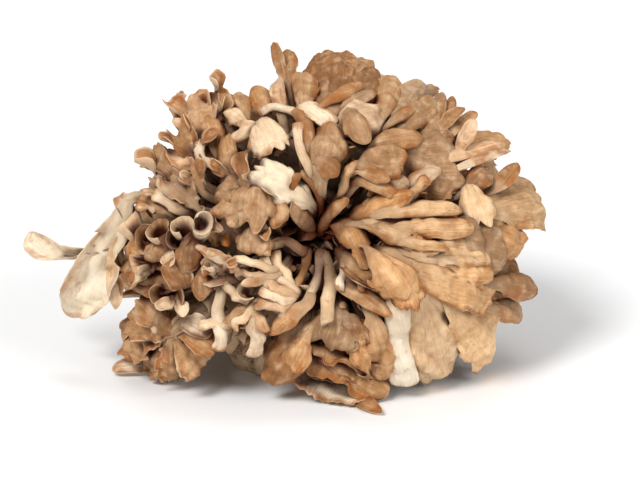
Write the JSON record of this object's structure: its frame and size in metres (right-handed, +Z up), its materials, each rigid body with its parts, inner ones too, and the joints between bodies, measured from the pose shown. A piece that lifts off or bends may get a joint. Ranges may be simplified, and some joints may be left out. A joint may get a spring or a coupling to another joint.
{
  "type": "maitake mushroom",
  "caption": "Free-standing head of maitake: a pale cut butt branching into a dense rosette of overlapping, curled tan fronds.",
  "frame": {"origin": "centre of the cut foot, on the surface it stands on", "axes": "+Z up; -Y the way the rosette faces; +X to the right as seen from the front"},
  "size_m": [0.2621, 0.1756, 0.159],
  "materials": {
    "stem_flesh": "matte",
    "frond_flesh": "matte"
  },
  "bodies": {
    "root": {"stem_base": "stem_flesh", "fronds_crown": "frond_flesh", "fronds_left_high": "frond_flesh", "fronds_left": "frond_flesh", "fronds_left_low": "frond_flesh", "fronds_front_low": "frond_flesh", "fronds_right_low": "frond_flesh", "fronds_right": "frond_flesh", "fronds_right_high": "frond_flesh", "fronds_back_high": "frond_flesh", "fronds_back_left": "frond_flesh", "fronds_back_right": "frond_flesh", "fronds_back_low": "frond_flesh"}
  },
  "joints": []
}
